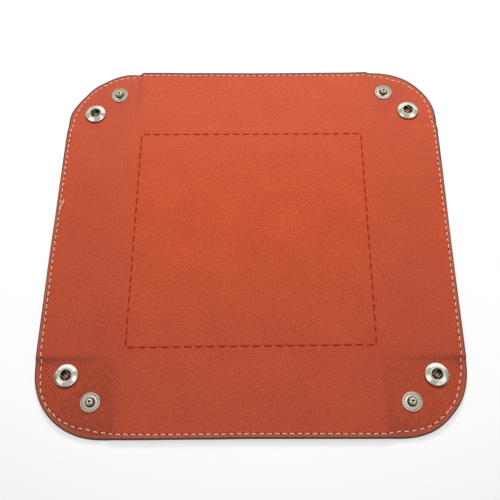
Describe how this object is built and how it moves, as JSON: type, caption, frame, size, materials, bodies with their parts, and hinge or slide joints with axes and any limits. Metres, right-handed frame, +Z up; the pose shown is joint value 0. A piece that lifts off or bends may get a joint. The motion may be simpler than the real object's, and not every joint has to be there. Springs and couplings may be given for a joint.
{
  "type": "dice tray",
  "caption": "Square folding dice tray of leatherette with rounded corners; its walls fold up and snap fasteners pinch the corners.",
  "frame": {"origin": "middle of the tray, on the surface it rests on", "axes": "+Z up out of the tray's floor, -Y towards the front wall, +X to the right"},
  "size_m": [0.22, 0.22, 0.0058],
  "materials": {
    "leather": "rust-orange leatherette with a fine cross-hatched grain, satin",
    "lining": "brown leatherette, matt",
    "board": "plain grey stiffener board",
    "seam_thread": "dark red sewing thread",
    "nickel": "bright nickel plate",
    "spring_steel": "drawn spring wire"
  },
  "bodies": {
    "base": {"base_top_skin": "leather", "base_board": "board", "base_bottom_skin": "lining", "square_seam_thread": "seam_thread"},
    "front_wall": {"front_wall_top_skin": "leather", "front_wall_board": "board", "front_wall_bottom_skin": "lining"},
    "back_wall": {"back_wall_top_skin": "leather", "back_wall_board": "board", "back_wall_bottom_skin": "lining"},
    "left_wall": {"left_wall_top_skin": "leather", "left_wall_board": "board", "left_wall_bottom_skin": "lining"},
    "right_wall": {"right_wall_top_skin": "leather", "right_wall_board": "board", "right_wall_bottom_skin": "lining"},
    "front_left_gusset": {"front_left_gusset_top_skin": "leather", "front_left_gusset_bottom_skin": "lining", "stud_front_left": "nickel", "stud_rivet_front_left": "nickel"},
    "front_right_gusset": {"front_right_gusset_top_skin": "leather", "front_right_gusset_bottom_skin": "lining", "stud_front_right": "nickel", "stud_rivet_front_right": "nickel"},
    "back_left_gusset": {"back_left_gusset_top_skin": "leather", "back_left_gusset_bottom_skin": "lining", "stud_back_left": "nickel", "stud_rivet_back_left": "nickel"},
    "back_right_gusset": {"back_right_gusset_top_skin": "leather", "back_right_gusset_bottom_skin": "lining", "stud_back_right": "nickel", "stud_rivet_back_right": "nickel"},
    "left_front_gusset": {"left_front_gusset_top_skin": "leather", "left_front_gusset_bottom_skin": "lining", "socket_front_left": "nickel", "socket_spring_front_left": "spring_steel", "socket_cap_front_left": "nickel"},
    "left_back_gusset": {"left_back_gusset_top_skin": "leather", "left_back_gusset_bottom_skin": "lining", "socket_back_left": "nickel", "socket_spring_back_left": "spring_steel", "socket_cap_back_left": "nickel"},
    "right_front_gusset": {"right_front_gusset_top_skin": "leather", "right_front_gusset_bottom_skin": "lining", "socket_front_right": "nickel", "socket_spring_front_right": "spring_steel", "socket_cap_front_right": "nickel"},
    "right_back_gusset": {"right_back_gusset_top_skin": "leather", "right_back_gusset_bottom_skin": "lining", "socket_back_right": "nickel", "socket_spring_back_right": "spring_steel", "socket_cap_back_right": "nickel"}
  },
  "joints": [
    {"name": "front_wall_fold", "type": "hinge", "parent": "base", "child": "front_wall", "pos_m": [0, -0.071, 0.0028], "axis": [-1, 0, 0], "range_deg": [0, 77]},
    {"name": "back_wall_fold", "type": "hinge", "parent": "base", "child": "back_wall", "pos_m": [0, 0.071, 0.0028], "axis": [1, 0, 0], "range_deg": [0, 77]},
    {"name": "left_wall_fold", "type": "hinge", "parent": "base", "child": "left_wall", "pos_m": [-0.071, 0, 0.0028], "axis": [0, 1, 0], "range_deg": [0, 77]},
    {"name": "right_wall_fold", "type": "hinge", "parent": "base", "child": "right_wall", "pos_m": [0.071, 0, 0.0028], "axis": [0, -1, 0], "range_deg": [0, 77]},
    {"name": "front_left_gusset_fold", "type": "hinge", "parent": "front_wall", "child": "front_left_gusset", "pos_m": [-0.071, -0.071, 0.0028], "axis": [0, -1, 0], "range_deg": [0, 37]},
    {"name": "front_right_gusset_fold", "type": "hinge", "parent": "front_wall", "child": "front_right_gusset", "pos_m": [0.071, -0.071, 0.0028], "axis": [0, 1, 0], "range_deg": [0, 37]},
    {"name": "back_left_gusset_fold", "type": "hinge", "parent": "back_wall", "child": "back_left_gusset", "pos_m": [-0.071, 0.071, 0.0028], "axis": [0, -1, 0], "range_deg": [0, 37]},
    {"name": "back_right_gusset_fold", "type": "hinge", "parent": "back_wall", "child": "back_right_gusset", "pos_m": [0.071, 0.071, 0.0028], "axis": [0, 1, 0], "range_deg": [0, 37]},
    {"name": "left_front_gusset_fold", "type": "hinge", "parent": "left_wall", "child": "left_front_gusset", "pos_m": [-0.071, -0.071, 0.0028], "axis": [1, 0, 0], "range_deg": [0, 37]},
    {"name": "left_back_gusset_fold", "type": "hinge", "parent": "left_wall", "child": "left_back_gusset", "pos_m": [-0.071, 0.071, 0.0028], "axis": [-1, 0, 0], "range_deg": [0, 37]},
    {"name": "right_front_gusset_fold", "type": "hinge", "parent": "right_wall", "child": "right_front_gusset", "pos_m": [0.071, -0.071, 0.0028], "axis": [1, 0, 0], "range_deg": [0, 37]},
    {"name": "right_back_gusset_fold", "type": "hinge", "parent": "right_wall", "child": "right_back_gusset", "pos_m": [0.071, 0.071, 0.0028], "axis": [-1, 0, 0], "range_deg": [0, 37]}
  ],
  "couplings": [
    {"joint": "back_wall_fold", "follows": "front_wall_fold", "ratio": 1},
    {"joint": "left_wall_fold", "follows": "front_wall_fold", "ratio": 1},
    {"joint": "right_wall_fold", "follows": "front_wall_fold", "ratio": 1},
    {"joint": "front_left_gusset_fold", "follows": "front_wall_fold", "ratio": 0.474},
    {"joint": "front_right_gusset_fold", "follows": "front_wall_fold", "ratio": 0.474},
    {"joint": "back_left_gusset_fold", "follows": "front_wall_fold", "ratio": 0.474},
    {"joint": "back_right_gusset_fold", "follows": "front_wall_fold", "ratio": 0.474},
    {"joint": "left_front_gusset_fold", "follows": "front_wall_fold", "ratio": 0.474},
    {"joint": "left_back_gusset_fold", "follows": "front_wall_fold", "ratio": 0.474},
    {"joint": "right_front_gusset_fold", "follows": "front_wall_fold", "ratio": 0.474},
    {"joint": "right_back_gusset_fold", "follows": "front_wall_fold", "ratio": 0.474}
  ]
}
